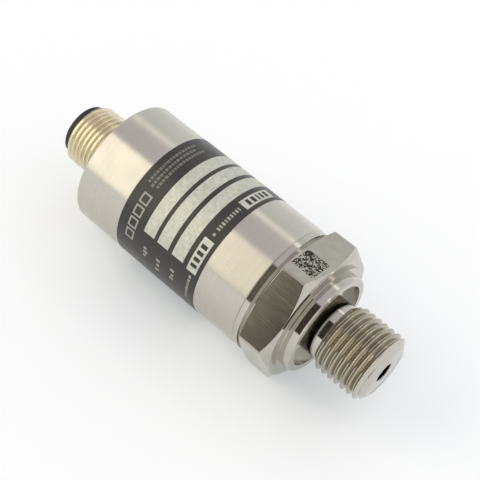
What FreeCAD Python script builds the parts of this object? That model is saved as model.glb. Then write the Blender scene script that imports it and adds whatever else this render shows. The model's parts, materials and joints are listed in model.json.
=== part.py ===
import FreeCAD, Part
import math
import os

# A pressure transmitter with a G 1/4 male process connection and an M12 plug. The axis lies
# along X, the process end points to +X and the plug to -X. The origin is where the axis meets
# the sealing face of the collar. +Z passes through the middle of one flat of the hexagon, so
# the part is drawn as it lies on a bench. Millimetres throughout.

Vector = FreeCAD.Vector
AXIS = Vector(1, 0, 0)
CENTRE = Vector(0, 0, 0)

os.makedirs("parts", exist_ok=True)

# --------------------------------------------------------------------------------------------
# Driving dimensions
# --------------------------------------------------------------------------------------------

# Process connection, turned from hexagon bar
port_thread_diameter = 13.157
port_spigot_length = 12.5
tip_face_diameter = 10.0
tip_chamfer_length = 0.9
neck_diameter = 11.0
neck_length = 2.15
bore_diameter = 3.7
bore_chamfer = 0.15
collar_diameter = 19.5
collar_thickness = 1.7
collar_edge = 0.25
seal_recess_diameter = 16.8
seal_recess_depth = 1.5
step_inset = 1.2
step_thickness = 0.5
shoulder_inset = 0.05
shoulder_thickness = 0.28
hex_flat_inset = 0.05
hex_corner_trim = 0.15
hex_length = 6.42
hex_front_angle = 30.0
hex_back_angle = 20.0
groove_depth = 0.9
groove_width = 0.45
band_width = 1.15
weld_edge = 0.12

# Housing, a turned can open at the process end
housing_diameter = 24.4
housing_length = 38.2
housing_wall = 1.2
housing_end_wall = 1.5
housing_end_radius = 0.5
joint_depth = 4.0
joint_clearance = 0.03

# Foil label wrapped round the housing
label_length = 18.6
label_thickness = 0.08
label_from_front = 9.1

# Measuring cell, a steel cup whose floor is the diaphragm
cell_diameter = 10.0
cell_flange_diameter = 13.0
cell_flange_thickness = 1.0
cell_height = 5.0
cell_bore_diameter = 5.2
diaphragm_thickness = 0.4
cell_clearance = 0.03
glass_thickness = 0.1
glass_margin = 0.8
gauge_chip_length = 1.8
gauge_chip_width = 0.7
gauge_chip_thickness = 0.2
gauge_chip_offset = 1.1

# Bond wires
bond_wire_width = 0.2
bond_wire_thickness = 0.06
bond_wire_rise = 0.8
bond_wire_bend = 0.4
bond_wire_pitch = 1.0
bond_wire_landing = 0.9

# Printed circuit boards and the plastic parts that hold them
board_thickness = 1.0
board_rim_gap = 0.45
board_cell_gap = 0.4
spacer_wall = 0.9
spacer_margin = 0.1
carrier_clearance = 0.15
carrier_wall = 0.8
slot_depth = 0.35
slot_clearance = 0.06
main_board_front_gap = 1.6
main_board_rear_gap = 0.5
header_pin_diameter = 0.5
header_pin_pitch = 2.54
header_pin_count = 4
header_pin_overlap = 2.4
header_pin_stub = 0.3
header_pin_spacer_gap = 0.34
pin_hole_clearance = 0.05

# Components on the main board
chip_length = 5.0
chip_width = 4.4
chip_thickness = 1.0
chip_standoff = 0.1
lead_count = 8
lead_pitch = 0.55
lead_width = 0.22
lead_thickness = 0.15
lead_reach = 0.9
regulator_length = 4.5
regulator_width = 2.5
regulator_thickness = 1.5
capacitor_length = 3.2
capacitor_width = 1.6
capacitor_thickness = 1.6
capacitor_cap = 0.4
capacitor_count = 4
capacitor_pitch = 2.4
diode_length = 4.2
diode_width = 2.6
diode_thickness = 2.0
resistor_length = 1.6
resistor_width = 0.8
resistor_thickness = 0.45
resistor_count = 6
resistor_pitch = 1.5
component_gap = 0.4
board_end_margin = 1.5

# M12 plug, male, A-coded, four contacts
plug_thread_diameter = 12.0
plug_thread_length = 9.8
plug_end_chamfer = 0.65
shell_neck_diameter = 12.6
shell_neck_clearance = 0.05
shell_bore_diameter = 10.0
shell_flange_thickness = 1.8
shell_flange_gap = 0.4
shell_counterbore_depth = 1.0
shell_seal_inner_diameter = 14.2
shell_seal_section = 1.0
shell_seal_width = 1.3
insert_clearance = 0.03
insert_proud = 1.3
insert_edge = 0.2
insert_inner_step = 0.5
socket_diameter = 8.8
socket_depth = 9.0
key_width = 1.0
key_height = 0.4
contact_diameter = 1.0
contact_circle = 7.0
contact_recess = 1.5
contact_nose = 0.4
contact_taper = 0.2
contact_tail = 0.6
insert_seal_width = 1.3
insert_seal_thickness = 0.5

# --------------------------------------------------------------------------------------------
# Stations along the axis, worked out from the sizes above
# --------------------------------------------------------------------------------------------

x_tip = port_spigot_length
x_collar_back = -collar_thickness
x_step_back = x_collar_back - step_thickness
x_hex_front = x_step_back - shoulder_thickness
x_hex_back = x_hex_front - hex_length
x_groove_back = x_hex_back - groove_width
x_joint = x_groove_back - band_width
x_port_back = x_joint - joint_depth
x_housing_back = x_joint - housing_length
x_end_wall = x_housing_back + housing_end_wall

x_cell_seat = x_port_back + cell_flange_thickness
x_diaphragm = x_cell_seat - cell_height
x_glass = x_diaphragm - glass_thickness
x_gauge_board_back = x_glass - gauge_chip_thickness
x_gauge_board_front = x_gauge_board_back + board_thickness

x_shell_end = x_housing_back - plug_thread_length
x_shell_flange = x_end_wall + shell_flange_thickness
x_counterbore = x_shell_flange - shell_counterbore_depth
x_insert_shoulder = x_counterbore + insert_seal_thickness
x_insert_end = x_shell_end - insert_proud
x_insert_front = x_shell_flange + insert_inner_step
x_socket_floor = x_insert_end + socket_depth
x_plug_board_back = x_insert_front
x_plug_board_front = x_plug_board_back + board_thickness

x_main_board_front = x_gauge_board_back - main_board_front_gap
x_main_board_back = x_plug_board_front + main_board_rear_gap

hex_across_flats = housing_diameter - 2 * hex_flat_inset
hex_corner_diameter = hex_across_flats / math.cos(math.radians(30)) - 2 * hex_corner_trim
shoulder_diameter = hex_across_flats - 2 * shoulder_inset
step_diameter = shoulder_diameter - 2 * step_inset
groove_diameter = housing_diameter - 2 * groove_depth

housing_bore = housing_diameter - 2 * housing_wall
carrier_diameter = housing_bore - 2 * carrier_clearance
carrier_bore = carrier_diameter - 2 * carrier_wall
round_board_diameter = carrier_bore - 2 * board_rim_gap
gauge_board_bore = cell_diameter + 2 * board_cell_gap
spacer_diameter = round_board_diameter - 2 * spacer_margin
shell_counterbore_diameter = shell_bore_diameter + 2 * insert_seal_width
insert_diameter = shell_bore_diameter - 2 * insert_clearance

header_half_width = (header_pin_count - 1) * header_pin_pitch / 2
header_circle = spacer_diameter / 2 - spacer_wall - header_pin_spacer_gap - header_pin_diameter / 2
header_pin_height = math.sqrt(header_circle ** 2 - header_half_width ** 2)
main_board_top = header_pin_height - header_pin_diameter / 2
main_board_under = main_board_top - board_thickness
slot_radius = carrier_bore / 2 + slot_depth
main_board_half_width = math.sqrt(slot_radius ** 2 - main_board_top ** 2)


# --------------------------------------------------------------------------------------------
# Operations
# --------------------------------------------------------------------------------------------

def save(node, shape):
    """Write one sub-part."""
    shape.exportStep("parts/" + node + ".step")


def turned(outline):
    """Revolve an outline of (x, radius) points round the axis."""
    points = [Vector(x, radius, 0) for x, radius in outline]
    wire = Part.makePolygon(points + [points[0]])
    return Part.Face(wire).revolve(CENTRE, AXIS, 360)


def tube(x_from, x_to, outer_diameter, inner_diameter):
    """A plain ring between two stations."""
    outer, inner = outer_diameter / 2, inner_diameter / 2
    return turned([(x_from, inner), (x_from, outer), (x_to, outer), (x_to, inner)])


def rod(x_from, x_to, diameter, y=0.0, z=0.0):
    """A round rod parallel to the axis."""
    start, end = min(x_from, x_to), max(x_from, x_to)
    return Part.makeCylinder(diameter / 2, end - start, Vector(start, y, z), AXIS)


def block(x_mid, y_mid, z_low, length, width, height):
    """A box centred in x and y that stands on z_low."""
    corner = Vector(x_mid - length / 2, y_mid - width / 2, z_low)
    return Part.makeBox(length, width, height, corner)


def on_axis(shape, angle):
    """Turn a shape round the part's axis by an angle in degrees."""
    copy = shape.copy()
    copy.rotate(CENTRE, AXIS, angle)
    return copy


def joined(shapes):
    """Fuse solids of one piece and merge their shared faces."""
    return shapes[0].multiFuse(shapes[1:]).removeSplitter()


def centred_rows(count, pitch):
    """Places of a row of equal parts about its middle."""
    return [(index - (count - 1) / 2) * pitch for index in range(count)]


# --------------------------------------------------------------------------------------------
# Process connection
# --------------------------------------------------------------------------------------------

def hexagon_bar():
    """The hexagon: flats on a turned blank whose corners are bevelled at both ends."""
    corner = hex_corner_diameter / 2
    front, back = shoulder_diameter / 2, groove_diameter / 2
    front_fall = (corner - front) * math.tan(math.radians(hex_front_angle))
    back_fall = (corner - back) * math.tan(math.radians(hex_back_angle))
    blank = turned([
        (x_hex_back, 0), (x_hex_back, back), (x_hex_back + back_fall, corner),
        (x_hex_front - front_fall, corner), (x_hex_front, front), (x_hex_front, 0)])
    reach = hex_across_flats / 2 / math.cos(math.radians(30))
    angles = [math.radians(60 * side) for side in range(7)]
    points = [Vector(x_hex_back, reach * math.cos(a), reach * math.sin(a)) for a in angles]
    prism = Part.Face(Part.makePolygon(points)).extrude(AXIS * hex_length)
    return blank.common(prism)


def process_spine():
    """Everything turned on the process connection, from the tip to the rear spigot."""
    thread, neck = port_thread_diameter / 2, neck_diameter / 2
    collar, recess = collar_diameter / 2, seal_recess_diameter / 2
    band = housing_diameter / 2
    spigot = housing_bore / 2 - joint_clearance
    return turned([
        (x_tip, 0), (x_tip, tip_face_diameter / 2),
        (x_tip - tip_chamfer_length, thread),
        (neck_length + thread - neck, thread), (neck_length, neck),
        (-seal_recess_depth, neck), (-seal_recess_depth, recess), (0, recess),
        (0, collar - collar_edge), (-collar_edge, collar), (x_collar_back, collar),
        (x_collar_back, step_diameter / 2), (x_step_back, step_diameter / 2),
        (x_step_back, shoulder_diameter / 2), (x_hex_front, shoulder_diameter / 2),
        (x_hex_back, groove_diameter / 2), (x_groove_back, groove_diameter / 2),
        (x_groove_back, band), (x_joint + weld_edge, band),
        (x_joint, band - weld_edge), (x_joint, spigot), (x_port_back, spigot),
        (x_port_back, 0)])


def pressure_port():
    """The process connection with its pressure bore and the seat of the measuring cell."""
    bore, countersink = bore_diameter / 2, bore_diameter / 2 + bore_chamfer
    drilling = turned([
        (x_tip, 0), (x_tip, countersink), (x_tip - bore_chamfer, bore), (x_port_back, bore),
        (x_port_back, 0)])
    seat = rod(x_port_back, x_cell_seat, cell_flange_diameter + 2 * cell_clearance)
    return joined([process_spine(), hexagon_bar()]).cut(drilling).cut(seat)


# --------------------------------------------------------------------------------------------
# Measuring cell
# --------------------------------------------------------------------------------------------

def measuring_cell():
    """A steel cup welded over the pressure bore; its thin floor bends with the pressure."""
    flange, wall, bore = cell_flange_diameter / 2, cell_diameter / 2, cell_bore_diameter / 2
    return turned([
        (x_cell_seat, bore), (x_cell_seat, flange), (x_port_back, flange), (x_port_back, wall),
        (x_diaphragm, wall), (x_diaphragm, 0), (x_diaphragm + diaphragm_thickness, 0),
        (x_diaphragm + diaphragm_thickness, bore)])


def gauge_chip(side):
    """One silicon half bridge, glassed to the diaphragm beside its middle."""
    corner = Vector(x_gauge_board_back, side * gauge_chip_offset - gauge_chip_width / 2,
                    -gauge_chip_length / 2)
    return Part.makeBox(gauge_chip_thickness, gauge_chip_width, gauge_chip_length, corner)


def bond_wire(y_chip, y_board, z):
    """A flat wire that leaves the chip squarely, crosses at a level height and lands squarely."""
    middle, half_span = (y_chip + y_board) / 2, abs(y_board - y_chip) / 2
    shoulder = half_span - bond_wire_bend
    base, top = x_gauge_board_back, x_gauge_board_back - bond_wire_rise
    outer = [(base, half_span), (top + bond_wire_bend, half_span), (top, shoulder)]
    inner = [(top + bond_wire_thickness, shoulder - bond_wire_thickness / 2),
             (top + bond_wire_bend, half_span - bond_wire_thickness),
             (base, half_span - bond_wire_thickness)]
    near_side = outer + [(x, -y) for x, y in reversed(outer)]
    far_side = [(x, -y) for x, y in reversed(inner)] + inner
    points = [Vector(x, middle + y, z - bond_wire_width / 2) for x, y in near_side + far_side]
    face = Part.Face(Part.makePolygon(points + [points[0]]))
    return face.extrude(Vector(0, 0, bond_wire_width))


def bond_wires():
    """Two wires from each half bridge to the ring board."""
    landing = gauge_board_bore / 2 + bond_wire_landing
    wires = []
    for side in (-1, 1):
        for z in centred_rows(2, bond_wire_pitch):
            wires.append(bond_wire(side * gauge_chip_offset, side * landing, z))
    return Part.makeCompound(wires)


# --------------------------------------------------------------------------------------------
# Boards, headers and the plastic parts that hold them
# --------------------------------------------------------------------------------------------

def header_places():
    """Where the header pins stand, as (y, z)."""
    return [(y, header_pin_height) for y in centred_rows(header_pin_count, header_pin_pitch)]


def contact_places():
    """Where the four plug contacts stand, as (y, z)."""
    radius = contact_circle / 2
    angles = [math.radians(90 * quarter) for quarter in range(4)]
    return [(radius * math.cos(a), radius * math.sin(a)) for a in angles]


def drilled(board, x_from, x_to, places, diameter):
    """Drill a board for round pins with a little play."""
    holes = [rod(x_from, x_to, diameter + 2 * pin_hole_clearance, y, z) for y, z in places]
    return board.cut(Part.makeCompound(holes))


def gauge_board():
    """Ring board level with the gauge chips, round the measuring cell."""
    ring = tube(x_gauge_board_back, x_gauge_board_front, round_board_diameter, gauge_board_bore)
    return drilled(ring, x_gauge_board_back, x_gauge_board_front, header_places(),
                   header_pin_diameter)


def board_spacer():
    """Ring that stands on the process connection and carries the ring board."""
    return tube(x_gauge_board_front, x_port_back, spacer_diameter,
                spacer_diameter - 2 * spacer_wall)


def main_board():
    """The long board, held by its edges in the slots of the carrier."""
    length = x_main_board_front - x_main_board_back
    middle = (x_main_board_front + x_main_board_back) / 2
    return block(middle, 0, main_board_under, length, 2 * main_board_half_width,
                 board_thickness)


def board_carrier():
    """Moulded sleeve between the process connection and the plug, slotted for the board."""
    length = x_port_back - x_shell_flange
    middle = (x_port_back + x_shell_flange) / 2
    sleeve = tube(x_shell_flange, x_port_back, carrier_diameter, carrier_bore)
    slot = block(middle, 0, main_board_under - slot_clearance, length,
                 2 * (main_board_half_width + slot_clearance),
                 board_thickness + 2 * slot_clearance)
    return sleeve.cut(slot)


def plug_board():
    """Round board on the back of the plug, soldered to its contacts."""
    disc = rod(x_plug_board_back, x_plug_board_front, round_board_diameter)
    disc = drilled(disc, x_plug_board_back, x_plug_board_front, contact_places(),
                   contact_diameter)
    return drilled(disc, x_plug_board_back, x_plug_board_front, header_places(),
                   header_pin_diameter)


def header_pins(x_from, x_to):
    """A row of straight pins that lie on the long board and pass through a round one."""
    return Part.makeCompound(
        [rod(x_from, x_to, header_pin_diameter, y, z) for y, z in header_places()])


# --------------------------------------------------------------------------------------------
# Components on the long board
# --------------------------------------------------------------------------------------------

def gull_wing_lead(x, way, z_board, lift):
    """One bent lead: a foot on the board, a riser and a shoulder in the package."""
    inner, outer = way * chip_width / 2, way * (chip_width / 2 + lead_reach)
    knee = (inner + outer) / 2
    half = lead_thickness / 2
    y_low, y_high = knee - way * half, knee + way * half
    outline = [
        (outer, 0), (outer, lead_thickness), (y_high, lead_thickness),
        (y_high, lift + lead_thickness), (inner, lift + lead_thickness), (inner, lift),
        (y_low, lift), (y_low, 0)]
    points = [Vector(x - lead_width / 2, y, z_board + z) for y, z in outline]
    return Part.Face(Part.makePolygon(points + [points[0]])).extrude(Vector(lead_width, 0, 0))


def leaded_chip(x_mid):
    """A package with a row of gull-wing leads on each side, on top of the board."""
    body = block(x_mid, 0, main_board_top + chip_standoff, chip_length, chip_width,
                 chip_thickness)
    lift = chip_standoff + chip_thickness / 2 - lead_thickness / 2
    leads = [gull_wing_lead(x_mid + x, way, main_board_top, lift)
             for x in centred_rows(lead_count, lead_pitch) for way in (-1, 1)]
    return joined([body] + leads)


def slung(x_mid, y_mid, length, width, height):
    """A block under the board."""
    return block(x_mid, y_mid, main_board_under - height, length, width, height)


def voltage_regulator(x_mid):
    """Power package under the board, with its cooling tab along one side."""
    tab = slung(x_mid, (regulator_width + lead_reach) / 2, regulator_length / 2, lead_reach,
                regulator_thickness / 4)
    return joined([slung(x_mid, 0, regulator_length, regulator_width, regulator_thickness), tab])


def capacitor(x_mid, y_mid):
    """Chip capacitor under the board: a body between two slightly larger end caps."""
    trim = capacitor_thickness / 20
    body = slung(x_mid, y_mid, capacitor_length, capacitor_width - 2 * trim,
                 capacitor_thickness - trim)
    cap_places = [x_mid + way * (capacitor_length - capacitor_cap) / 2 for way in (-1, 1)]
    caps = [slung(x, y_mid, capacitor_cap, capacitor_width, capacitor_thickness)
            for x in cap_places]
    return joined([body] + caps)


def surge_diode(x_mid, y_mid):
    """Moulded diode under the board with its two wrapped tabs."""
    foot = lead_thickness
    body = slung(x_mid, y_mid, diode_length, diode_width, diode_thickness - foot)
    body.translate(Vector(0, 0, -foot))
    tabs = [slung(x_mid + way * diode_length / 2, y_mid, lead_reach, diode_width / 2,
                  diode_thickness / 2) for way in (-1, 1)]
    return joined([body] + tabs)


def chip_resistors(x_mid, y_mid):
    """A row of small resistors on top of the board."""
    return Part.makeCompound([
        block(x_mid + x, y_mid, main_board_top, resistor_width, resistor_length,
              resistor_thickness) for x in centred_rows(resistor_count, resistor_pitch)])


# --------------------------------------------------------------------------------------------
# Plug
# --------------------------------------------------------------------------------------------

def connector_shell():
    """Threaded sleeve with a neck in the hole of the end wall and a flange sealed behind it."""
    bore, thread = shell_bore_diameter / 2, plug_thread_diameter / 2
    neck = shell_neck_diameter / 2
    flange = housing_bore / 2 - shell_flange_gap
    gland = shell_seal_inner_diameter / 2
    gland_floor = x_end_wall + shell_seal_section
    return turned([
        (x_shell_end, bore), (x_shell_end, thread - plug_end_chamfer),
        (x_shell_end + plug_end_chamfer, thread), (x_housing_back, thread),
        (x_housing_back, neck), (x_end_wall, neck), (x_end_wall, gland),
        (gland_floor, gland), (gland_floor, gland + shell_seal_width),
        (x_end_wall, gland + shell_seal_width), (x_end_wall, flange),
        (x_shell_flange, flange), (x_shell_flange, shell_counterbore_diameter / 2),
        (x_counterbore, shell_counterbore_diameter / 2), (x_counterbore, bore)])


def connector_insert():
    """Plastic insert: a socket with a coding key, a solid floor and a shoulder on its seal."""
    rim, socket = insert_diameter / 2, socket_diameter / 2
    shoulder = shell_counterbore_diameter / 2 - insert_clearance
    body = turned([
        (x_insert_end, socket + insert_edge), (x_insert_end, rim - insert_edge),
        (x_insert_end + insert_edge, rim), (x_insert_shoulder, rim),
        (x_insert_shoulder, shoulder), (x_insert_front, shoulder), (x_insert_front, 0),
        (x_socket_floor, 0), (x_socket_floor, socket), (x_insert_end + insert_edge, socket)])
    key_length = socket_depth - 2 * insert_edge
    key = block(x_socket_floor - key_length / 2, 0, socket - key_height, key_length, key_width,
                key_height + insert_edge)
    body = joined([body, on_axis(key, 45)])
    return drilled(body, x_socket_floor, x_insert_front, contact_places(), contact_diameter)


def plug_contact(y, z):
    """One contact pin with a tapered nose and a solder tail through the round board."""
    radius = contact_diameter / 2
    x_nose = x_insert_end + contact_recess
    pin = turned([
        (x_nose, 0), (x_nose, radius - contact_taper), (x_nose + contact_nose, radius),
        (x_plug_board_front + contact_tail, radius), (x_plug_board_front + contact_tail, 0)])
    pin.translate(Vector(0, y, z))
    return pin


# --------------------------------------------------------------------------------------------
# Housing and label
# --------------------------------------------------------------------------------------------

def housing():
    """The can: a wall with a rounded end, and the hole of the plug in its end wall."""
    outer, inner = housing_diameter / 2, housing_bore / 2
    hole = shell_neck_diameter / 2 + shell_neck_clearance
    can = turned([
        (x_housing_back, hole), (x_housing_back, outer), (x_joint - weld_edge, outer),
        (x_joint, outer - weld_edge), (x_joint, inner), (x_end_wall, inner),
        (x_end_wall, hole)])
    rims = [edge for edge in can.Edges if len(edge.Vertexes) == 1
            and abs(edge.CenterOfMass.x - x_housing_back) < weld_edge
            and abs(edge.Curve.Radius - outer) < weld_edge]
    return can.makeFillet(housing_end_radius, rims)


def label():
    """Foil label, wrapped all the way round."""
    x_front = x_joint - label_from_front
    return tube(x_front - label_length, x_front, housing_diameter + 2 * label_thickness,
                housing_diameter)


# --------------------------------------------------------------------------------------------
# Places on the long board
# --------------------------------------------------------------------------------------------

x_front_chip = x_main_board_front - header_pin_overlap - board_end_margin - chip_length / 2
x_rear_chip = x_main_board_back + header_pin_overlap + board_end_margin + chip_length / 2
y_resistors = chip_width / 2 + lead_reach + component_gap + resistor_length / 2
x_capacitors = x_main_board_front - board_end_margin - capacitor_length / 2
x_diodes = x_main_board_back + board_end_margin + (diode_length + lead_reach) / 2
y_diode = (diode_width + component_gap) / 2
x_regulator = (x_capacitors - capacitor_length / 2 + x_diodes + diode_length / 2) / 2

# --------------------------------------------------------------------------------------------
# The sub-parts
# --------------------------------------------------------------------------------------------

save("pressure_port", pressure_port())
save("measuring_cell", measuring_cell())
save("glass_layer", rod(x_glass, x_diaphragm, cell_diameter - 2 * glass_margin))
save("gauge_chip_left", gauge_chip(-1))
save("gauge_chip_right", gauge_chip(1))
save("bond_wires", bond_wires())

save("gauge_board", gauge_board())
save("board_spacer", board_spacer())
save("main_board", main_board())
save("board_carrier", board_carrier())
save("plug_board", plug_board())
save("front_header_pins", header_pins(x_gauge_board_front + header_pin_stub,
                                      x_main_board_front - header_pin_overlap))
save("rear_header_pins", header_pins(x_plug_board_back, x_main_board_back + header_pin_overlap))

save("signal_processor", leaded_chip(x_front_chip))
save("output_driver", leaded_chip(x_rear_chip))
save("voltage_regulator", voltage_regulator(x_regulator))
for number, y in enumerate(centred_rows(capacitor_count, capacitor_pitch), 1):
    save("capacitor_%d" % number, capacitor(x_capacitors, y))
save("surge_diode_left", surge_diode(x_diodes, -y_diode))
save("surge_diode_right", surge_diode(x_diodes, y_diode))
save("chip_resistors", chip_resistors((x_front_chip + x_rear_chip) / 2, y_resistors))

save("connector_shell", connector_shell())
save("connector_insert", connector_insert())
for number, (y, z) in enumerate(contact_places(), 1):
    save("plug_contact_%d" % number, plug_contact(y, z))
save("shell_seal", tube(x_end_wall, x_end_wall + shell_seal_section,
                        shell_seal_inner_diameter + 2 * shell_seal_section,
                        shell_seal_inner_diameter))
save("insert_seal", tube(x_counterbore, x_insert_shoulder, shell_counterbore_diameter,
                         shell_bore_diameter))

save("housing", housing())
save("label", label())
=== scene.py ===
import json
import math
import random

import bmesh
import bpy
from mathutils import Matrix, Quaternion, Vector


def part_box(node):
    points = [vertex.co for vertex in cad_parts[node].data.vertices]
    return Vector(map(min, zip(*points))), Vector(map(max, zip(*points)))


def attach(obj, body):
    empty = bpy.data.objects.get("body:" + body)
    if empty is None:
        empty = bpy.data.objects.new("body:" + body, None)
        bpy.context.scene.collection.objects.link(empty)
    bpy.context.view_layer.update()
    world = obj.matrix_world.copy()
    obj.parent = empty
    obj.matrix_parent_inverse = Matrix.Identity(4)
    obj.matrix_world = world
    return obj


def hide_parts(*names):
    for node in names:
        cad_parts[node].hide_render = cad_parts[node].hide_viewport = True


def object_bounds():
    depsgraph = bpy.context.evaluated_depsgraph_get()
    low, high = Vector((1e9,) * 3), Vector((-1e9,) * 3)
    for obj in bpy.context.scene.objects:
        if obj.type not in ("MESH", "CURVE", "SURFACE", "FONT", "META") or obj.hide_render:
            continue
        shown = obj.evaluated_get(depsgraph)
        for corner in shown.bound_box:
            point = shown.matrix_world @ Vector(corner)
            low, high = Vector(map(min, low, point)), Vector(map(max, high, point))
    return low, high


bl_info = {
    "name": "Pressure transmitter",
    "version": (1, 0, 0),
    "blender": (4, 5, 0),
    "location": "3D View > Sidebar > Transmitter",
    "description": "Cuts the threads, prints the label and finishes a pressure transmitter",
    "category": "Object",
}

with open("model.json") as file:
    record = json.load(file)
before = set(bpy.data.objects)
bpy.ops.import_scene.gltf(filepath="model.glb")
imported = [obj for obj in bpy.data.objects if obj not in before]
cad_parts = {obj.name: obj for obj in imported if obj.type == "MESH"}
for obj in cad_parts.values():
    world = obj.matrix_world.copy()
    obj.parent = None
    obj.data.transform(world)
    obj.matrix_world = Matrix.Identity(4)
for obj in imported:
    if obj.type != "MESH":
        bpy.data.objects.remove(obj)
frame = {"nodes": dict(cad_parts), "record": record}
CAD_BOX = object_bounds()

MM = 0.001
WELD = 2e-7
SHARP_ANGLE = math.radians(24)
THREAD_SHARP_ANGLE = math.radians(42)
EASE_ANGLE = math.radians(50)

# Finishes, as the lowest and highest roughness.
BRIGHT_TURNED = (0.07, 0.12)
CUT_THREAD = (0.19, 0.26)

# The silver bars of the label: millimetres from its rear edge, width. Their ends in degrees.
LABEL_BARS = ((6.70, 2.45), (9.97, 2.5), (13.43, 2.6))
LABEL_BAR_ENDS = (-100, 77)
# The two silver boxes: millimetres from the rear edge, degrees round X, length, arc.
LABEL_BOXES = ((16.78, 63, 2.1, 6.7), (16.78, -9, 2.1, 7.6))

# The marked square: its middle on the flat, and its thickness and how far it stands off.
CODE_MIDDLE = (-5.8 * MM, -2.6 * MM)
CODE_THICKNESS = 0.01 * MM
CODE_LIFT = 0.003 * MM
CODE_SHARE = 0.58

# The stage. A floor's glow brings it up to white and no further. Directions are the cosine
# with X and the degrees from straight up towards -Y.
FLOOR_HALF_SIZE = 1.5
FLOOR_GLOW = 0.27
FLOOR_GLOW_TONE = (0.9, 1.0, 1.08, 1.0)
PANEL_LIGHT = (2.5, 2.34, 2.02, 1.0)
PANEL_DEGREES = (16.5, 111)
PANEL_X = (-0.84, -0.35)
OPENING_LIGHT = (0.045, 0.038, 0.03, 1.0)
OPENING_DEGREES = (19, 95)
OPENING_X = (-0.35, -0.14)


def linear(hex_colour):
    """An sRGB hex colour as linear RGBA."""
    channels = [int(hex_colour[i:i + 2], 16) / 255 for i in (1, 3, 5)]
    return tuple(c / 12.92 if c <= 0.04045 else ((c + 0.055) / 1.055) ** 2.4
                 for c in channels) + (1.0,)


# ---------------------------------------------------------------------------------------------
# Sizes and colours
# ---------------------------------------------------------------------------------------------

def length(name, description, millimetres):
    """A length property with its default in millimetres."""
    return bpy.props.FloatProperty(
        name=name, description=description, default=millimetres * MM, unit="LENGTH",
        precision=6)


def turn(name, description, degrees):
    """An angle property with its default in degrees."""
    return bpy.props.FloatProperty(
        name=name, description=description, default=math.radians(degrees), subtype="ANGLE")


def colour(name, description, hex_colour):
    """A colour property with its default as an sRGB hex value."""
    return bpy.props.FloatVectorProperty(
        name=name, description=description, default=linear(hex_colour), size=4, min=0.0,
        max=1.0, subtype="COLOR")


class TransmitterSizes(bpy.types.PropertyGroup):
    """Sizes of the finish that the frame doesn't hold."""
    port_pitch: length("Port pitch", "Pitch of the process thread", 1.337)
    port_root_radius: length("Port root radius", "Radius at the roots of the process thread", 5.72)
    port_crest_radius: length("Port crest radius", "Radius over the process thread", 6.5785)
    port_root_width: length("Port root width", "Flat at the roots of the process thread", 0.2)
    port_flank_angle: turn("Port flank angle", "Half the thread angle of the process thread", 27.5)
    port_crest_ease: length("Port crest ease", "Depth of the round at the port's crests", 0.13)
    port_phase: turn("Port thread start", "Turn of the process thread round the axis", 40)
    plug_pitch: length("Plug pitch", "Pitch of the plug thread", 1.0)
    plug_root_radius: length("Plug root radius", "Radius at the roots of the plug thread", 5.42)
    plug_crest_radius: length("Plug crest radius", "Radius over the plug thread", 6.0)
    plug_root_width: length("Plug root width", "Flat at the roots of the plug thread", 0.14)
    plug_flank_angle: turn("Plug flank angle", "Half the thread angle of the plug thread", 30)
    plug_crest_ease: length("Plug crest ease", "Depth of the round at the plug's crests", 0.08)
    plug_phase: turn("Plug thread start", "Turn of the plug thread round the axis", 0)
    hexagon_inset: length("Hexagon inset", "Flats of the hexagon below the housing", 0.05)
    hexagon_front: length("Hexagon front", "Front end of the hexagon along X", -2.48)
    hexagon_back: length("Hexagon back", "Rear end of the hexagon along X", -8.9)
    neck_length: length("Neck length", "From the sealing face to the process thread", 2.15)
    housing_wall: length("Housing wall", "Wall of the housing", 1.2)
    housing_end_wall: length("Housing end wall", "End wall of the housing", 1.5)
    housing_end_radius: length("Housing end radius", "Round of the housing's closed end", 0.5)
    housing_hole_radius: length("Housing hole radius", "Hole for the plug's neck", 6.35)
    weld_edge: length("Weld edge", "Bevel of the welded joint", 0.12)
    label_thickness: length("Label thickness", "Foil of the label, without its print", 0.06)
    print_thickness: length("Print thickness", "Layer of the print on the label", 0.012)
    code_size: length("Code size", "Side of the marked square on the hexagon", 4.6)
    code_cell_count: bpy.props.IntProperty(
        name="Code cells", description="Cells along one side of the marked square", default=22,
        min=2, max=40)


class TransmitterColours(bpy.types.PropertyGroup):
    """Colours of the finishes that show."""
    port_steel: colour("Port steel", "Turned stainless steel", "#C3BFB6")
    # Painted shade: a darker, olive copy of the port's steel, standing in for the shade in the
    # valleys of the thread
    thread_steel_painted_shade: colour("Thread steel", "Thread cut in stainless steel", "#B0AA9A")
    bar_steel: colour("Bar steel", "Drawn stainless steel of the hexagon's flats", "#B9B5AB")
    housing_steel: colour("Housing steel", "Ground stainless steel", "#C8C4BA")
    nickel: colour("Nickel", "Nickel plate over brass", "#E8DDC2")
    foil: colour("Foil", "Printed ground of the label", "#2E2D2A")
    silver_print: colour("Silver print", "Bars of the label", "#C8CABE")
    light_print: colour("Light print", "Small print of the label", "#A9A9A0")
    insert: colour("Insert", "Glass-filled nylon of the plug", "#17171A")
    gold: colour("Gold", "Gold plate of the contacts", "#D9AE5B")


def sizes():
    """The scene's sizes."""
    return bpy.context.scene.transmitter_sizes


def colours():
    """The scene's colours."""
    return bpy.context.scene.transmitter_colours


# ---------------------------------------------------------------------------------------------
# Nodes and materials
# ---------------------------------------------------------------------------------------------

def add(tree, kind, inputs=None, **settings):
    """Add a node with its settings; each input is a value or the socket that feeds it."""
    node = tree.nodes.new(kind)
    for name, value in settings.items():
        setattr(node, name, value)
    for name, value in (inputs or {}).items():
        if isinstance(value, bpy.types.NodeSocket):
            tree.links.new(value, node.inputs[name])
        else:
            node.inputs[name].default_value = value
    return node


def surface(name):
    """An empty material, its tree and its shader."""
    material = bpy.data.materials.new(name)
    material.use_nodes = True
    tree = material.node_tree
    tree.nodes.clear()
    shader = add(tree, "ShaderNodeBsdfPrincipled")
    add(tree, "ShaderNodeOutputMaterial", {"Surface": shader.outputs[0]})
    return material, tree, shader


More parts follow.
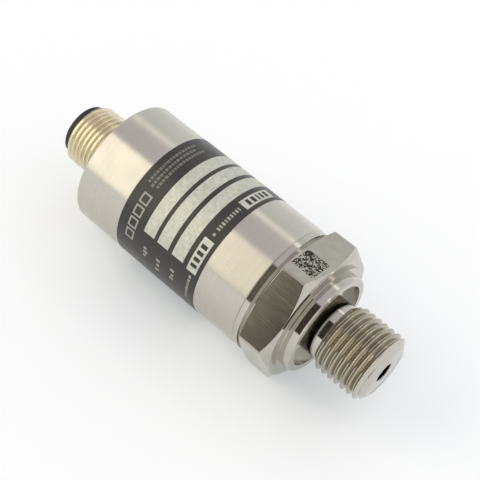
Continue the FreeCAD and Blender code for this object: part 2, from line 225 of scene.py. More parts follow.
def lines(tree, along, across):
    """Noise drawn out into fine lines, from its size along X and across it."""
    place = add(tree, "ShaderNodeTexCoord").outputs["Object"]
    stretched = add(tree, "ShaderNodeMapping",
                    {"Vector": place, "Scale": (1 / along, 1 / across, 1 / across)})
    return add(tree, "ShaderNodeTexNoise",
               {"Vector": stretched.outputs[0], "Scale": 1.0, "Detail": 3.0,
                "Roughness": 0.6}).outputs["Fac"]


def grain(tree, size, detail=3.0):
    """Even noise of one grain size."""
    place = add(tree, "ShaderNodeTexCoord").outputs["Object"]
    return add(tree, "ShaderNodeTexNoise",
               {"Vector": place, "Scale": 1 / size, "Detail": detail}).outputs["Fac"]


def spread(tree, value, low, high):
    """A noise value brought to a range."""
    return add(tree, "ShaderNodeMapRange",
               {"Value": value, "From Min": 0.3, "From Max": 0.7, "To Min": low,
                "To Max": high}).outputs["Result"]


def tinted(tree, value, base, low, high):
    """A colour made darker and lighter by a noise value."""
    shade = add(tree, "ShaderNodeHueSaturation",
                {"Color": tuple(base), "Value": spread(tree, value, low, high)})
    return shade.outputs["Color"]


def bumped(tree, shader, value, height, strength=1.0):
    """Bump of a real height from a value."""
    bump = add(tree, "ShaderNodeBump",
               {"Height": value, "Distance": height, "Strength": strength})
    tree.links.new(bump.outputs["Normal"], shader.inputs["Normal"])


def across_the_lines(tree, shader, amount):
    """Streaks the reflections across the turning lines: along the axis on a round surface."""
    place = add(tree, "ShaderNodeTexCoord").outputs["Object"]
    axis = add(tree, "ShaderNodeCombineXYZ", {"X": 1.0, "Y": 0.0, "Z": 0.0}).outputs[0]
    lines = add(tree, "ShaderNodeVectorMath", {0: axis, 1: place}, operation="CROSS_PRODUCT")
    normal = add(tree, "ShaderNodeNewGeometry").outputs["Normal"]
    across = add(tree, "ShaderNodeVectorMath", {0: normal, 1: lines.outputs[0]},
                 operation="CROSS_PRODUCT")
    tree.links.new(across.outputs[0], shader.inputs["Tangent"])
    shader.inputs["Anisotropic"].default_value = amount


def turned_steel(name, tone, smooth, rough):
    """Stainless steel bar, turned: bright, with the fine ring marks of the tool."""
    material, tree, shader = surface(name)
    rings = lines(tree, 0.09 * MM, 25 * MM)
    cloud = grain(tree, 2.5 * MM)
    tree.links.new(tinted(tree, cloud, tone, 0.92, 1.04),
                   shader.inputs["Base Color"])
    tree.links.new(spread(tree, rings, smooth, rough), shader.inputs["Roughness"])
    shader.inputs["Metallic"].default_value = 1.0
    bumped(tree, shader, rings, 0.001 * MM, 0.5)
    return material


def drawn_steel():
    """Stainless steel hexagon bar, as drawn: darker, with faint marks along it."""
    material, tree, shader = surface("drawn_stainless_steel_bar")
    marks = lines(tree, 6 * MM, 0.15 * MM)
    cloud = grain(tree, 2 * MM)
    tree.links.new(tinted(tree, cloud, colours().bar_steel, 0.9, 1.06),
                   shader.inputs["Base Color"])
    tree.links.new(spread(tree, marks, 0.13, 0.17), shader.inputs["Roughness"])
    shader.inputs["Metallic"].default_value = 1.0
    bumped(tree, shader, marks, 0.001 * MM, 0.5)
    return material


def ground_steel():
    """Stainless steel tube, ground on a belt: satin, with hair lines round it."""
    material, tree, shader = surface("ground_stainless_steel")
    hair = lines(tree, 0.2 * MM, 16 * MM)
    cloud = grain(tree, 3 * MM)
    tree.links.new(tinted(tree, hair, colours().housing_steel, 0.95, 1.03),
                   shader.inputs["Base Color"])
    tree.links.new(spread(tree, cloud, 0.27, 0.31), shader.inputs["Roughness"])
    shader.inputs["Metallic"].default_value = 1.0
    across_the_lines(tree, shader, 0.9)
    return material


def nickel_plate():
    """Brass, turned and nickel plated: warm grey, bright on the crests."""
    material, tree, shader = surface("nickel_plated_brass")
    rings = lines(tree, 0.1 * MM, 16 * MM)
    cloud = grain(tree, 1.5 * MM)
    tree.links.new(tinted(tree, cloud, colours().nickel, 0.9, 1.05),
                   shader.inputs["Base Color"])
    tree.links.new(spread(tree, rings, 0.2, 0.3), shader.inputs["Roughness"])
    shader.inputs["Metallic"].default_value = 1.0
    bumped(tree, shader, rings, 0.001 * MM, 0.5)
    return material


def label_film():
    """Polyester film printed black: smooth, with a slight sheen."""
    material, tree, shader = surface("black_polyester_film")
    cloud = grain(tree, 1.2 * MM)
    tree.links.new(tinted(tree, cloud, colours().foil, 0.92, 1.06),
                   shader.inputs["Base Color"])
    tree.links.new(spread(tree, cloud, 0.3, 0.38), shader.inputs["Roughness"])
    bumped(tree, shader, grain(tree, 0.15 * MM), 0.001 * MM, 0.4)
    return material


def silver_ink():
    """Silver ink: metal flake in varnish, slightly mottled."""
    material, tree, shader = surface("silver_screen_ink")
    mottle = grain(tree, 0.6 * MM, 4.0)
    tree.links.new(tinted(tree, mottle, colours().silver_print, 0.85, 1.15),
                   shader.inputs["Base Color"])
    tree.links.new(spread(tree, mottle, 0.42, 0.55), shader.inputs["Roughness"])
    shader.inputs["Metallic"].default_value = 0.4
    bumped(tree, shader, mottle, 0.002 * MM, 0.5)
    return material


def flat_ink(name, tone):
    """Screen ink of one tone: flat, a little uneven."""
    material, tree, shader = surface(name)
    mottle = grain(tree, 0.2 * MM)
    tree.links.new(tinted(tree, mottle, tone, 0.85, 1.05),
                   shader.inputs["Base Color"])
    tree.links.new(spread(tree, mottle, 0.45, 0.6), shader.inputs["Roughness"])
    return material


def laser_mark():
    """Steel annealed dark by a laser: brown-black oxide, hardly raised."""
    material, tree, shader = surface("laser_annealed_oxide")
    mottle = grain(tree, 0.12 * MM)
    tree.links.new(tinted(tree, mottle, linear("#3A362F"), 0.8, 1.2),
                   shader.inputs["Base Color"])
    tree.links.new(spread(tree, mottle, 0.4, 0.6), shader.inputs["Roughness"])
    shader.inputs["Metallic"].default_value = 0.7
    return material


def moulded_nylon():
    """Glass-filled nylon, moulded: black, matt, with a faint grain."""
    material, tree, shader = surface("moulded_nylon")
    skin = grain(tree, 0.12 * MM, 4.0)
    tree.links.new(tinted(tree, grain(tree, 1.5 * MM), colours().insert, 0.9, 1.15),
                   shader.inputs["Base Color"])
    tree.links.new(spread(tree, skin, 0.42, 0.58), shader.inputs["Roughness"])
    bumped(tree, shader, skin, 0.004 * MM, 0.6)
    return material


def gold_plate():
    """Gold over nickel on a turned pin: soft and warm."""
    material, tree, shader = surface("gold_plate")
    rings = lines(tree, 0.05 * MM, 5 * MM)
    tree.links.new(tinted(tree, rings, colours().gold, 0.94, 1.04),
                   shader.inputs["Base Color"])
    tree.links.new(spread(tree, rings, 0.16, 0.24), shader.inputs["Roughness"])
    shader.inputs["Metallic"].default_value = 1.0
    return material


# Finishes of the pieces inside, by the frame's material slot: name, colour, metallic,
# roughness and the size of its grain in millimetres.
INNER_FINISHES = {
    "cell_steel": ("drawn_stainless_steel", "#B4B2AE", 1.0, 0.3, 0.4),
    "glass_frit": ("fired_glass_frit", "#8FA39C", 0.0, 0.2, 0.3),
    "silicon": ("polished_silicon", "#3A3D47", 0.3, 0.15, 0.2),
    "bond_wire": ("drawn_aluminium", "#C9C9CB", 1.0, 0.25, 0.05),
    "circuit_board": ("epoxy_glass_board", "#0E4A26", 0.0, 0.4, 0.6),
    "carrier_plastic": ("moulded_pbt", "#C9C3AE", 0.0, 0.5, 0.5),
    "header_pin": ("gold_flash", "#C8A24E", 1.0, 0.28, 0.2),
    "chip_package": ("transfer_moulded_epoxy", "#151517", 0.0, 0.55, 0.15),
    "capacitor": ("fired_ceramic", "#9C7B52", 0.0, 0.45, 0.2),
    "resistor": ("glazed_resistor_body", "#101014", 0.0, 0.25, 0.2),
    "seal_rubber": ("moulded_nitrile_rubber", "#0D0D0D", 0.0, 0.6, 0.2),
}


def inner_finish(name, hex_colour, metallic, roughness, grain_size):
    """A plain finish with an even grain in its colour, gloss and height."""
    material, tree, shader = surface(name)
    value = grain(tree, grain_size * MM)
    tree.links.new(tinted(tree, value, linear(hex_colour), 0.88, 1.1),
                   shader.inputs["Base Color"])
    tree.links.new(spread(tree, value, roughness * 0.85, roughness * 1.15),
                   shader.inputs["Roughness"])
    shader.inputs["Metallic"].default_value = metallic
    bumped(tree, shader, value, 0.02 * grain_size * MM, 0.5)
    return material


def give(piece, material):
    """Let a piece show one material."""
    piece.data.materials.clear()
    piece.data.materials.append(material)


def give_flats(piece, material, start, end):
    """Let the faces that stand along X between two places show a second material."""
    piece.data.materials.append(material)
    for face in piece.data.polygons:
        if start < face.center.x < end and abs(face.normal.x) < 0.1:
            face.material_index = len(piece.data.materials) - 1


def give_zone(piece, material, start, end, inner):
    """Let the faces between two places on X, outside a radius, show another material."""
    piece.data.materials.append(material)
    for face in piece.data.polygons:
        place = face.center
        if start < place.x < end and math.hypot(place.y, place.z) > inner:
            face.material_index = len(piece.data.materials) - 1


# ---------------------------------------------------------------------------------------------
# Meshes
# ---------------------------------------------------------------------------------------------

def placed(name, mesh):
    """A new object in the scene with that mesh."""
    piece = bpy.data.objects.new(name, mesh)
    bpy.context.scene.collection.objects.link(piece)
    return piece


def shaded(piece, angle=SHARP_ANGLE):
    """Smooth shading that breaks at the edges."""
    piece.data.shade_smooth()
    piece.data.set_sharp_from_angle(angle=angle)


def ease_between(piece, start, end):
    """Let the small bevels of a thread shade as rounds, between two places along X."""
    form = bmesh.new()
    form.from_mesh(piece.data)
    for edge in form.edges:
        middle = (edge.verts[0].co.x + edge.verts[1].co.x) / 2
        if start < middle < end and edge.is_manifold:
            edge.smooth = edge.calc_face_angle() < THREAD_SHARP_ANGLE
    form.to_mesh(piece.data)
    form.free()


def welded_copy(node, name):
    """A copy of a frame node with its loose triangles joined up."""
    mesh = frame["nodes"][node].data.copy()
    mesh.name = name
    custom = mesh.attributes.get("custom_normal")
    if custom:
        mesh.attributes.remove(custom)
    form = bmesh.new()
    form.from_mesh(mesh)
    bmesh.ops.remove_doubles(form, verts=form.verts, dist=WELD)
    form.to_mesh(mesh)
    form.free()
    piece = placed(name, mesh)
    shaded(piece)
    return piece


def lathe(name, outline, segments=192):
    """A ring-shaped solid turned round X from a closed outline of (x, radius)."""
    form = bmesh.new()
    rings = []
    for x, radius in outline:
        ring = []
        for step in range(segments):
            angle = 2 * math.pi * step / segments
            ring.append(form.verts.new((x, radius * math.cos(angle), radius * math.sin(angle))))
        rings.append(ring)
    for near, far in zip(rings, rings[1:] + rings[:1]):
        for step in range(segments):
            after = (step + 1) % segments
            form.faces.new((near[step], near[after], far[after], far[step]))
    bmesh.ops.recalc_face_normals(form, faces=form.faces)
    mesh = bpy.data.meshes.new(name)
    form.to_mesh(mesh)
    form.free()
    piece = placed(name, mesh)
    shaded(piece)
    return piece


def run_tree(piece, tree, values):
    """Run a node tree on a piece with its inputs set by name, and keep the plain result."""
    modifier = piece.modifiers.new(tree.name, "NODES")
    modifier.node_group = tree
    for item in tree.interface.items_tree:
        if item.item_type == "SOCKET" and item.in_out == "INPUT" and item.name in values:
            modifier[item.identifier] = values[item.name]
    bpy.context.view_layer.update()
    graph = bpy.context.evaluated_depsgraph_get()
    mesh = bpy.data.meshes.new_from_object(piece.evaluated_get(graph))
    mesh.name = piece.name
    piece.modifiers.clear()
    piece.data = mesh


def new_tree(name, inputs):
    """A node tree with named inputs; returns it with its input and output nodes."""
    tree = bpy.data.node_groups.new(name, "GeometryNodeTree")
    tree.interface.new_socket("Geometry", in_out="OUTPUT", socket_type="NodeSocketGeometry")
    tree.interface.new_socket("Geometry", in_out="INPUT", socket_type="NodeSocketGeometry")
    for label, kind in inputs:
        tree.interface.new_socket(label, in_out="INPUT", socket_type="NodeSocket" + kind)
    return tree, tree.nodes.new("NodeGroupInput").outputs


def finish_tree(tree, geometry, material):
    """End a tree: real geometry, its material, and the output."""
    real = add(tree, "GeometryNodeRealizeInstances", {"Geometry": geometry})
    painted = add(tree, "GeometryNodeSetMaterial",
                  {"Geometry": real.outputs[0], "Material": material})
    output = tree.nodes.new("NodeGroupOutput")
    tree.links.new(painted.outputs[0], output.inputs[0])


def coil(tree, given, turns, root, depth, root_width, top_width):
    """A trapezium swept along a spiral round Z, narrow side inwards."""
    half_depth = add(tree, "ShaderNodeMath", {0: depth, 1: 0.5}, operation="MULTIPLY").outputs[0]
    middle = add(tree, "ShaderNodeMath", {0: root, 1: half_depth}, operation="ADD").outputs[0]
    height = add(tree, "ShaderNodeMath", {0: turns, 1: given["Pitch"]},
                 operation="MULTIPLY").outputs[0]
    path = add(tree, "GeometryNodeCurveSpiral",
               {"Resolution": given["Segments"], "Rotations": turns, "Start Radius": middle,
                "End Radius": middle, "Height": height}).outputs[0]
    upright = add(tree, "GeometryNodeSetCurveNormal", {"Curve": path}, mode="Z_UP").outputs[0]
    section = add(tree, "GeometryNodeCurvePrimitiveQuadrilateral",
                  {"Bottom Width": root_width, "Top Width": top_width, "Height": depth,
                   "Offset": 0.0}, mode="TRAPEZOID").outputs[0]
    outwards = add(tree, "GeometryNodeTransform",
                   {"Geometry": section, "Rotation": (0.0, 0.0, math.radians(90))}).outputs[0]
    return add(tree, "GeometryNodeCurveToMesh",
               {"Curve": upright, "Profile Curve": outwards, "Fill Caps": True}).outputs[0]


def thread_tree():
    """Cuts a helical groove round X into the piece, and eases the crests beside it."""
    tree, given = new_tree("thread_cut", [
        ("Start", "Float"), ("End", "Float"), ("Pitch", "Float"), ("Root Radius", "Float"),
        ("Depth", "Float"), ("Root Width", "Float"), ("Top Width", "Float"),
        ("Ease Radius", "Float"), ("Ease Depth", "Float"), ("Ease Width", "Float"),
        ("Ease Top Width", "Float"), ("Phase", "Float"), ("Segments", "Int"),
        ("Material", "Material")])
    run = add(tree, "ShaderNodeMath", {0: given["End"], 1: given["Start"]},
              operation="SUBTRACT").outputs[0]
    turns = add(tree, "ShaderNodeMath", {0: run, 1: given["Pitch"]},
                operation="DIVIDE").outputs[0]
    groove = coil(tree, given, turns, given["Root Radius"], given["Depth"],
                  given["Root Width"], given["Top Width"])
    ease = coil(tree, given, turns, given["Ease Radius"], given["Ease Depth"],
                given["Ease Width"], given["Ease Top Width"])
    shift = add(tree, "ShaderNodeCombineXYZ", {"X": given["Start"]}).outputs[0]
    spin = add(tree, "ShaderNodeCombineXYZ", {"X": given["Phase"]}).outputs[0]
    work = given["Geometry"]
    for form in (groove, ease):
        lying = add(tree, "GeometryNodeTransform",
                    {"Geometry": form, "Rotation": (0.0, math.radians(90), 0.0)}).outputs[0]
        cutter = add(tree, "GeometryNodeTransform",
                     {"Geometry": lying, "Translation": shift, "Rotation": spin}).outputs[0]
        work = add(tree, "GeometryNodeMeshBoolean", {"Mesh 1": work, "Mesh 2": cutter},
                   operation="DIFFERENCE", solver="EXACT").outputs[0]
    finish_tree(tree, work, given["Material"])
    return tree


def cut_thread(piece, start, end, crest, root, pitch, root_width, flank, ease, phase, material):
    """Cut one thread, from its crest and root radii and the angle of its flanks."""
    clear = 0.03 * MM
    depth = crest + clear - root
    ease_width = root_width + 2 * (crest - ease - root) * math.tan(flank) - 0.01 * MM
    ease_depth = ease + clear
    run_tree(piece, thread_tree(), {
        "Start": start, "End": end, "Pitch": pitch, "Root Radius": root, "Depth": depth,
        "Root Width": root_width, "Top Width": root_width + 2 * depth * math.tan(flank),
        "Ease Radius": crest - ease, "Ease Depth": ease_depth, "Ease Width": ease_width,
        "Ease Top Width": ease_width + 2 * ease_depth * math.tan(EASE_ANGLE),
        "Phase": phase, "Segments": 96, "Material": material})
    shaded(piece)
    ease_between(piece, start, end)


def wrap_tree():
    """Wraps a flat layout of (length, arc) round the axis and gives it a thickness."""
    tree, given = new_tree("wrapped_print", [
        ("Radius", "Float"), ("Thickness", "Float"), ("Material", "Material")])
    place = add(tree, "ShaderNodeSeparateXYZ",
                {0: add(tree, "GeometryNodeInputPosition").outputs[0]}).outputs
    angle = add(tree, "ShaderNodeMath", {0: place["Y"], 1: given["Radius"]},
                operation="DIVIDE").outputs[0]
    side = add(tree, "ShaderNodeMath", {0: angle}, operation="SINE").outputs[0]
    up = add(tree, "ShaderNodeMath", {0: angle}, operation="COSINE").outputs[0]
    y = add(tree, "ShaderNodeMath", {0: side, 1: -1.0}, operation="MULTIPLY").outputs[0]
    direction = add(tree, "ShaderNodeCombineXYZ", {"X": 0.0, "Y": y, "Z": up}).outputs[0]
    out = add(tree, "ShaderNodeVectorMath", {0: direction, "Scale": given["Radius"]},
              operation="SCALE").outputs[0]
    along = add(tree, "ShaderNodeCombineXYZ", {"X": place["X"]}).outputs[0]
    spot = add(tree, "ShaderNodeVectorMath", {0: out, 1: along}, operation="ADD").outputs[0]
    bent = add(tree, "GeometryNodeSetPosition",
               {"Geometry": given["Geometry"], "Position": spot}).outputs[0]
    raised = add(tree, "GeometryNodeExtrudeMesh",
                 {"Mesh": bent, "Offset Scale": given["Thickness"], "Individual": False},
                 mode="FACES").outputs[0]
    under = add(tree, "GeometryNodeFlipFaces", {"Mesh": bent}).outputs[0]
    both = add(tree, "GeometryNodeJoinGeometry")
    tree.links.new(raised, both.inputs[0])
    tree.links.new(under, both.inputs[0])
    closed = add(tree, "GeometryNodeMergeByDistance",
                 {"Geometry": both.outputs[0], "Distance": WELD}).outputs[0]
    finish_tree(tree, closed, given["Material"])
    return tree


def printed(name, areas, radius, thickness, material):
    """Print on the label: areas are (x middle, angle middle, length, width of the arc)."""
    form = bmesh.new()
    for x_mid, angle, long, wide in areas:
        steps = max(1, math.ceil(wide / (0.4 * MM)))
        rows = []
        for step in range(steps + 1):
            arc = angle * radius + wide * (step / steps - 0.5)
            rows.append([form.verts.new((x_mid + side * long / 2, arc, 0)) for side in (-1, 1)])
        for near, far in zip(rows, rows[1:]):
            form.faces.new((near[0], far[0], far[1], near[1]))
    mesh = bpy.data.meshes.new(name)
    form.to_mesh(mesh)
    form.free()
    piece = placed(name, mesh)
    run_tree(piece, wrap_tree(), {"Radius": radius, "Thickness": thickness,
                                  "Material": material})
    shaded(piece)
    return piece


def code_tree():
    """A square of small raised cells, a share of them picked by a fixed seed."""
    tree, given = new_tree("marked_cells", [
        ("Size", "Float"), ("Cells", "Int"), ("Thickness", "Float"), ("Share", "Float"),
        ("Seed", "Int"), ("Middle", "Vector"), ("Material", "Material")])
    cell = add(tree, "ShaderNodeMath", {0: given["Size"], 1: given["Cells"]},
               operation="DIVIDE").outputs[0]
    reach = add(tree, "ShaderNodeMath", {0: given["Size"], 1: cell},
                operation="SUBTRACT").outputs[0]
    grid = add(tree, "GeometryNodeMeshGrid",
               {"Size X": reach, "Size Y": reach, "Vertices X": given["Cells"],
                "Vertices Y": given["Cells"]}).outputs[0]
    marked = add(tree, "FunctionNodeRandomValue",
                 {"Probability": given["Share"], "Seed": given["Seed"]},
                 data_type="BOOLEAN").outputs["Value"]
    bulk = add(tree, "ShaderNodeCombineXYZ",
               {"X": cell, "Y": cell, "Z": given["Thickness"]}).outputs[0]
    box = add(tree, "GeometryNodeMeshCube", {"Size": bulk}).outputs[0]
    points = add(tree, "GeometryNodeMeshToPoints", {"Mesh": grid, "Selection": marked})
    cells = add(tree, "GeometryNodeInstanceOnPoints",
                {"Points": points.outputs[0], "Instance": box}).outputs[0]
    moved = add(tree, "GeometryNodeTransform",
                {"Geometry": cells, "Translation": given["Middle"]}).outputs[0]
    finish_tree(tree, moved, given["Material"])
    return tree


# ---------------------------------------------------------------------------------------------
# Pieces
# ---------------------------------------------------------------------------------------------

def hand_over(piece, slot, *nodes):
    """Let a finished piece ride on the part and stand for its frame nodes."""
    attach(piece, "root")
    if nodes:
        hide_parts(*nodes)


class TRANSMITTER_OT_port(bpy.types.Operator):
    """Cut the process thread into the port and finish its steel"""
    bl_idname = "transmitter.port"
    bl_label = "Process port"

    def execute(self, context):
        s = sizes()
        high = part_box("pressure_port")[1]
        material = turned_steel("turned_stainless_steel", colours().port_steel,
                                *BRIGHT_TURNED)
        # The thread zone gets the darker copy of the same steel: painted shade for its valleys, on
        # crests and flanks alike
        threaded = turned_steel("thread_cut_steel_with_painted_shade", colours().thread_steel_painted_shade,
                                *CUT_THREAD)
        piece = welded_copy("pressure_port", "process_port")
        cut_thread(piece, s.neck_length - s.port_pitch, high.x + s.port_pitch,
                   s.port_crest_radius, s.port_root_radius, s.port_pitch, s.port_root_width,
                   s.port_flank_angle, s.port_crest_ease, s.port_phase, material)
        give_flats(piece, drawn_steel(), s.hexagon_back, s.hexagon_front)
        give_zone(piece, threaded, s.neck_length, high.x - s.port_pitch,
                  s.port_root_radius - 0.05 * MM)
        hand_over(piece, "port_steel", "pressure_port")
        return {"FINISHED"}


class TRANSMITTER_OT_plug(bpy.types.Operator):
    """Cut the plug's thread and finish its shell, insert and contacts"""
    bl_idname = "transmitter.plug"
    bl_label = "Plug"

    def execute(self, context):
        s = sizes()
        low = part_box("connector_shell")[0]
        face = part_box("housing")[0].x
        material = nickel_plate()
        piece = welded_copy("connector_shell", "plug_shell_threaded")
        cut_thread(piece, low.x - s.plug_pitch, face - 0.3 * s.plug_pitch,
                   s.plug_crest_radius, s.plug_root_radius, s.plug_pitch, s.plug_root_width,
                   s.plug_flank_angle, s.plug_crest_ease, s.plug_phase, material)
        hand_over(piece, "plug_shell", "connector_shell")
        insert = welded_copy("connector_insert", "plug_insert_moulded")
        give(insert, moulded_nylon())
        hand_over(insert, "plug_insert", "connector_insert")
        gold = gold_plate()
        for number in range(1, 5):
            pin = welded_copy("plug_contact_%d" % number, "contact_pin_%d" % number)
            give(pin, gold)
            hand_over(pin, "plug_contact", "plug_contact_%d" % number)
        return {"FINISHED"}


class TRANSMITTER_OT_housing(bpy.types.Operator):
    """Turn the housing with its rounded end and finish its ground steel"""
    bl_idname = "transmitter.housing"
    bl_label = "Housing"

    def execute(self, context):
        s = sizes()
        low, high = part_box("housing")
        radius = high.z
        inner, hole = radius - s.housing_wall, s.housing_hole_radius
        floor = low.x + s.housing_end_wall
        corner = [(low.x + s.housing_end_radius * (1 - math.sin(angle)),
                   radius - s.housing_end_radius * (1 - math.cos(angle)))
                  for angle in [math.radians(90 - 10 * step) for step in range(10)]]
        outline = [(low.x, hole)] + corner + [
            (high.x - s.weld_edge, radius), (high.x, radius - s.weld_edge), (high.x, inner),
            (floor, inner), (floor, hole)]
        piece = lathe("ground_housing", outline)
        give(piece, ground_steel())
        hand_over(piece, "housing_steel", "housing")
        return {"FINISHED"}


class TRANSMITTER_OT_label(bpy.types.Operator):
    """Wrap the label and print its bars, boxes and small print"""
    bl_idname = "transmitter.label"
    bl_label = "Label"

    def execute(self, context):
        s = sizes()
        low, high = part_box("label")
        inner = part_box("housing")[1].z
        radius = inner + s.label_thickness
        piece = lathe("label_film", [(low.x, inner), (low.x, radius), (high.x, radius),
                                     (high.x, inner)])
        give(piece, label_film())
        hand_over(piece, "label_foil", "label")
        silver = printed("label_bars", label_bars(low.x, radius), radius, s.print_thickness,
                         silver_ink())
        hand_over(silver, "label_foil")
        light = printed("label_light_print", label_light_print(low.x, radius), radius,
                        s.print_thickness, flat_ink("light_screen_ink",
                                                    colours().light_print))
        hand_over(light, "label_foil")
        fine = printed("label_fine_print", label_fine_print(low.x, radius), radius,
                       s.print_thickness, flat_ink("grey_screen_ink", linear("#7A7672")))
        hand_over(fine, "label_foil")
        dark = printed("label_dark_marks", label_dark_marks(low.x, radius),
                       radius + s.print_thickness, s.print_thickness,
                       flat_ink("black_screen_ink", linear("#2B2A28")))
        hand_over(dark, "label_foil")
        return {"FINISHED"}


def label_bars(x_rear, radius):
    """Three silver bars and two silver boxes, as (x, angle, length, arc)."""
    start, end = (math.radians(angle) for angle in LABEL_BAR_ENDS)
    middle, arc = (start + end) / 2, (end - start) * radius
    bars = [(x_rear + x * MM, middle, wide * MM, arc)
            for x, wide in LABEL_BARS]
    return bars + [(x_rear + x * MM, math.radians(a), wide * MM, long * MM)
                   for x, a, wide, long in LABEL_BOXES]


def dashes(x, start, end, height, gap, radius, draw, low=0.35, high=0.9):
    """Short dashes of drawn lengths in a row round X, from one angle down to another."""
    areas, angle = [], math.radians(start)
    while angle > math.radians(end):
        wide = draw.uniform(low, high) * MM
        areas.append((x, angle - wide / 2 / radius, height * MM, wide))
        angle -= (wide + gap * MM) / radius
    return areas


def outlined(x, angle, long, wide, stroke, radius):
    """A plain rectangle drawn in outline."""
    turned = (wide - stroke) / 2 / radius
    ends = [(x, angle + side * turned, long, stroke) for side in (-1, 1)]
    sides = [(x + side * (long - stroke) / 2, angle, stroke, wide - 2 * stroke)
             for side in (-1, 1)]
    return ends + sides


def label_light_print(x_rear, radius):
    """Four outlined blocks, a row of marks and the small marks below the bars."""
    draw = random.Random(7)
    areas = []
    for step in range(4):
        areas += outlined(x_rear + 2.9 * MM, math.radians(54.5 + 11.5 * step), 1.9 * MM,
                          2.0 * MM, 0.3 * MM, radius)
    areas += dashes(x_rear + 16.8 * MM, 37.5, 13, 0.75, 0.3, radius, draw, 0.25, 0.5)
    small = ((16.8, 42, 0.5, 0.5), (6.8, 91, 0.7, 0.5), (7.0, 95, 1.0, 0.5), (6.9, 99, 0.6, 0.5),
             (10.0, 93, 0.9, 0.5), (10.1, 98, 0.6, 0.6), (10.0, 104, 0.9, 0.5),
             (13.3, 91, 0.9, 0.5), (13.5, 96, 0.6, 0.5), (13.4, 100, 0.9, 0.5))
    areas += [(x_rear + x * MM, math.radians(a), long * MM, wide * MM)
              for x, a, long, wide in small]
    return areas + dashes(x_rear + 17.0 * MM, 108, 84, 0.5, 0.25, radius, draw, 0.25, 0.6)


def label_fine_print(x_rear, radius):
    """Three faint rows where such a label is lettered small."""
    draw = random.Random(3)
    areas = []
    for x, start, end in ((1.5, 42, -10), (2.45, 44, -6), (3.4, 42, -12)):
        areas += dashes(x_rear + x * MM, start, end, 0.5, 0.2, radius, draw, 0.3, 0.7)
    return areas


def label_dark_marks(x_rear, radius):
    """Dark marks on the two silver boxes."""
    draw = random.Random(5)
    areas = []
    for x, angle, _, long in LABEL_BOXES:
        half = math.degrees(long * MM / radius) / 2 - 5
        areas += dashes(x_rear + x * MM, angle + half, angle - half + 2, 1.3, 0.55, radius,
                        draw, 0.4, 0.8)
    return areas


class TRANSMITTER_OT_marking(bpy.types.Operator):
    """Mark the square of cells on one flat of the hexagon"""
    bl_idname = "transmitter.marking"
    bl_label = "Marked square"

    def execute(self, context):
        s = sizes()
        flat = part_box("housing")[1].z - s.hexagon_inset
        piece = placed("marked_square", bpy.data.meshes.new("marked_square"))
        run_tree(piece, code_tree(), {
            "Size": s.code_size, "Cells": s.code_cell_count, "Thickness": CODE_THICKNESS,
            "Share": CODE_SHARE, "Seed": 11, "Middle": CODE_MIDDLE + (flat + CODE_LIFT,),
            "Material": laser_mark()})
        hand_over(piece, "port_steel")
        return {"FINISHED"}


class TRANSMITTER_OT_inner(bpy.types.Operator):
    """Finish the pieces inside the housing"""
    bl_idname = "transmitter.inner"
    bl_label = "Inner pieces"

    def execute(self, context):
        finishes = {slot: inner_finish(*look) for slot, look in INNER_FINISHES.items()}
        for row in frame["record"]["subparts"]:
            if row["material_slot"] in finishes:
                give(frame["nodes"][row["node"]], finishes[row["material_slot"]])
        return {"FINISHED"}


# ---------------------------------------------------------------------------------------------
# Stage
# ---------------------------------------------------------------------------------------------

def stage_floor(z):
    """A plain pale floor that shows white to the camera and keeps the part's shadow."""
    size = FLOOR_HALF_SIZE
    mesh = bpy.data.meshes.new("floor")
    mesh.from_pydata([(-size, -size, z), (size, -size, z), (size, size, z), (-size, size, z)],
                     [], [(0, 1, 2, 3)])
    floor = placed("floor", mesh)
    material, tree, shader = surface("matt_white_floor")
    shader.inputs["Base Color"].default_value = linear("#E8E8E8")
    shader.inputs["Roughness"].default_value = 0.9
    shader.inputs["Emission Color"].default_value = FLOOR_GLOW_TONE
    tree.links.new(scaled(tree, seen_directly(tree), FLOOR_GLOW),
                   shader.inputs["Emission Strength"])
    give(floor, material)


def seen_directly(tree):
    """One for rays from the camera, or by way of gloss or glass."""
    rays = add(tree, "ShaderNodeLightPath").outputs
    either = add(tree, "ShaderNodeMath", {0: rays["Is Camera Ray"], 1: rays["Is Glossy Ray"]},
                 operation="MAXIMUM")
    return add(tree, "ShaderNodeMath",
               {0: either.outputs[0], 1: rays["Is Transmission Ray"]},
               operation="MAXIMUM").outputs[0]


def scaled(tree, value, factor):
    """A value times a number."""
    return add(tree, "ShaderNodeMath", {0: value, 1: factor}, operation="MULTIPLY").outputs[0]


def blend(tree, share, first, second):
    """A colour between two, by a share."""
    return add(tree, "ShaderNodeMix", {0: share, 6: first, 7: second},
               data_type="RGBA").outputs[2]


def above(tree, value, limit, edge):
    """One above a limit, with a soft edge."""
    return add(tree, "ShaderNodeMapRange",
               {"Value": value, "From Min": limit - edge, "From Max": limit + edge},
               interpolation_type="SMOOTHSTEP").outputs["Result"]


def between(tree, value, low, high, edge):
    """One between two limits, with soft edges."""
    past = add(tree, "ShaderNodeMath", {0: 1.0, 1: above(tree, value, high, edge)},
               operation="SUBTRACT").outputs[0]
    return add(tree, "ShaderNodeMath", {0: above(tree, value, low, edge), 1: past},
               operation="MULTIPLY").outputs[0]


# Brightness of the light tent round X: degrees from straight up towards -Y, then linear RGB.
TENT = ((-180, (0.85, 0.89, 0.81)), (-62, (0.87, 0.9, 0.92)), (-48, (0.76, 0.78, 0.78)),
        (-39, (0.81, 0.81, 0.81)), (-36, (1.5, 1.46, 1.38)), (-32, (1.5, 1.46, 1.38)),
        (-28, (0.72, 0.68, 0.72)), (16, (0.72, 0.68, 0.72)), (24, (0.85, 0.82, 0.78)),
        (180, (0.85, 0.89, 0.81)))


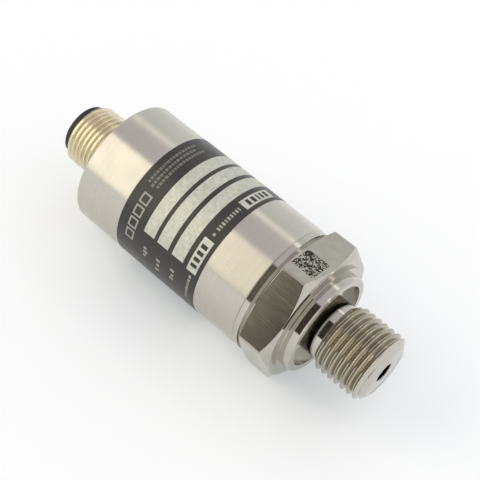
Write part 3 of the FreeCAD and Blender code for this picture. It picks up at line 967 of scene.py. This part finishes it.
def studio_world():
    """A light tent with a strip along its top, one warm panel and a dark opening beside it."""
    world = bpy.data.worlds.new("light_tent")
    bpy.context.scene.world = world
    world.use_nodes = True
    tree = world.node_tree
    tree.nodes.clear()
    sky = add(tree, "ShaderNodeTexCoord").outputs["Generated"]
    way = add(tree, "ShaderNodeSeparateXYZ", {0: sky}).outputs
    around = add(tree, "ShaderNodeMath", {0: scaled(tree, way["Y"], -1.0), 1: way["Z"]},
                 operation="ARCTAN2").outputs[0]
    turn_share = add(tree, "ShaderNodeMapRange",
                     {"Value": around, "From Min": -math.pi, "From Max": math.pi})
    tent = add(tree, "ShaderNodeValToRGB", {"Fac": turn_share.outputs["Result"]})
    stops = tent.color_ramp.elements
    while len(stops) < len(TENT):
        stops.new(0.5)
    for stop, (degrees, light) in zip(stops, TENT):
        stop.position = degrees / 360 + 0.5
        stop.color = light + (1.0,)
    panel = add(tree, "ShaderNodeMath",
                {0: between(tree, around, *map(math.radians, PANEL_DEGREES),
                            math.radians(2.5)),
                 1: between(tree, way["X"], *PANEL_X, 0.02)}, operation="MULTIPLY")
    opening = add(tree, "ShaderNodeMath",
                  {0: between(tree, around, *map(math.radians, OPENING_DEGREES),
                              math.radians(1.5)),
                   1: between(tree, way["X"], *OPENING_X, 0.02)}, operation="MULTIPLY")
    lit = blend(tree, panel.outputs[0], tent.outputs["Color"], PANEL_LIGHT)
    dark = blend(tree, opening.outputs[0], lit, OPENING_LIGHT)
    light = add(tree, "ShaderNodeBackground", {"Color": dark})
    add(tree, "ShaderNodeOutputWorld", {"Surface": light.outputs[0]})


def studio_camera():
    """The camera, on the side of the process port and above it."""
    data = bpy.data.cameras.new("camera")
    data.sensor_width = 36.0
    data.lens = 87.39
    camera = bpy.data.objects.new("camera", data)
    bpy.context.scene.collection.objects.link(camera)
    place = Vector((49.457, -127.398, 142.127)) * MM
    aim = Vector((-21.864, 1.542, 1.413)) * MM
    camera.location = place
    look = (aim - place).to_track_quat("-Z", "Y")
    camera.rotation_mode = "QUATERNION"
    camera.rotation_quaternion = look @ Quaternion((0, 0, 1), math.radians(18.04))
    data.clip_start = 0.01
    bpy.context.scene.camera = camera


class TRANSMITTER_OT_stage(bpy.types.Operator):
    """Set the floor, the light tent and the camera"""
    bl_idname = "transmitter.stage"
    bl_label = "Stage"

    def execute(self, context):
        stage_floor(CAD_BOX[0].z)
        studio_world()
        studio_camera()
        context.scene.view_settings.view_transform = "Standard"
        return {"FINISHED"}


STEPS = (TRANSMITTER_OT_port, TRANSMITTER_OT_plug, TRANSMITTER_OT_housing,
         TRANSMITTER_OT_label, TRANSMITTER_OT_marking, TRANSMITTER_OT_inner,
         TRANSMITTER_OT_stage)


class TRANSMITTER_PT_panel(bpy.types.Panel):
    """Lists the steps and the sizes and colours that they use"""
    bl_idname = "TRANSMITTER_PT_panel"
    bl_label = "Pressure transmitter"
    bl_space_type = "VIEW_3D"
    bl_region_type = "UI"
    bl_category = "Transmitter"

    def draw(self, context):
        for group in (context.scene.transmitter_sizes, context.scene.transmitter_colours):
            column = self.layout.column()
            for name in group.__annotations__:
                column.prop(group, name)
        for step in STEPS:
            self.layout.operator(step.bl_idname)


CLASSES = (TransmitterSizes, TransmitterColours) + STEPS + (TRANSMITTER_PT_panel,)


def register():
    for item in CLASSES:
        bpy.utils.register_class(item)
    bpy.types.Scene.transmitter_sizes = bpy.props.PointerProperty(type=TransmitterSizes)
    bpy.types.Scene.transmitter_colours = bpy.props.PointerProperty(type=TransmitterColours)


def unregister():
    del bpy.types.Scene.transmitter_colours
    del bpy.types.Scene.transmitter_sizes
    for item in reversed(CLASSES):
        bpy.utils.unregister_class(item)


def main():
    register()
    for step in STEPS:
        group, name = step.bl_idname.split(".")
        getattr(getattr(bpy.ops, group), name)()


if __name__ == "__main__":
    main()
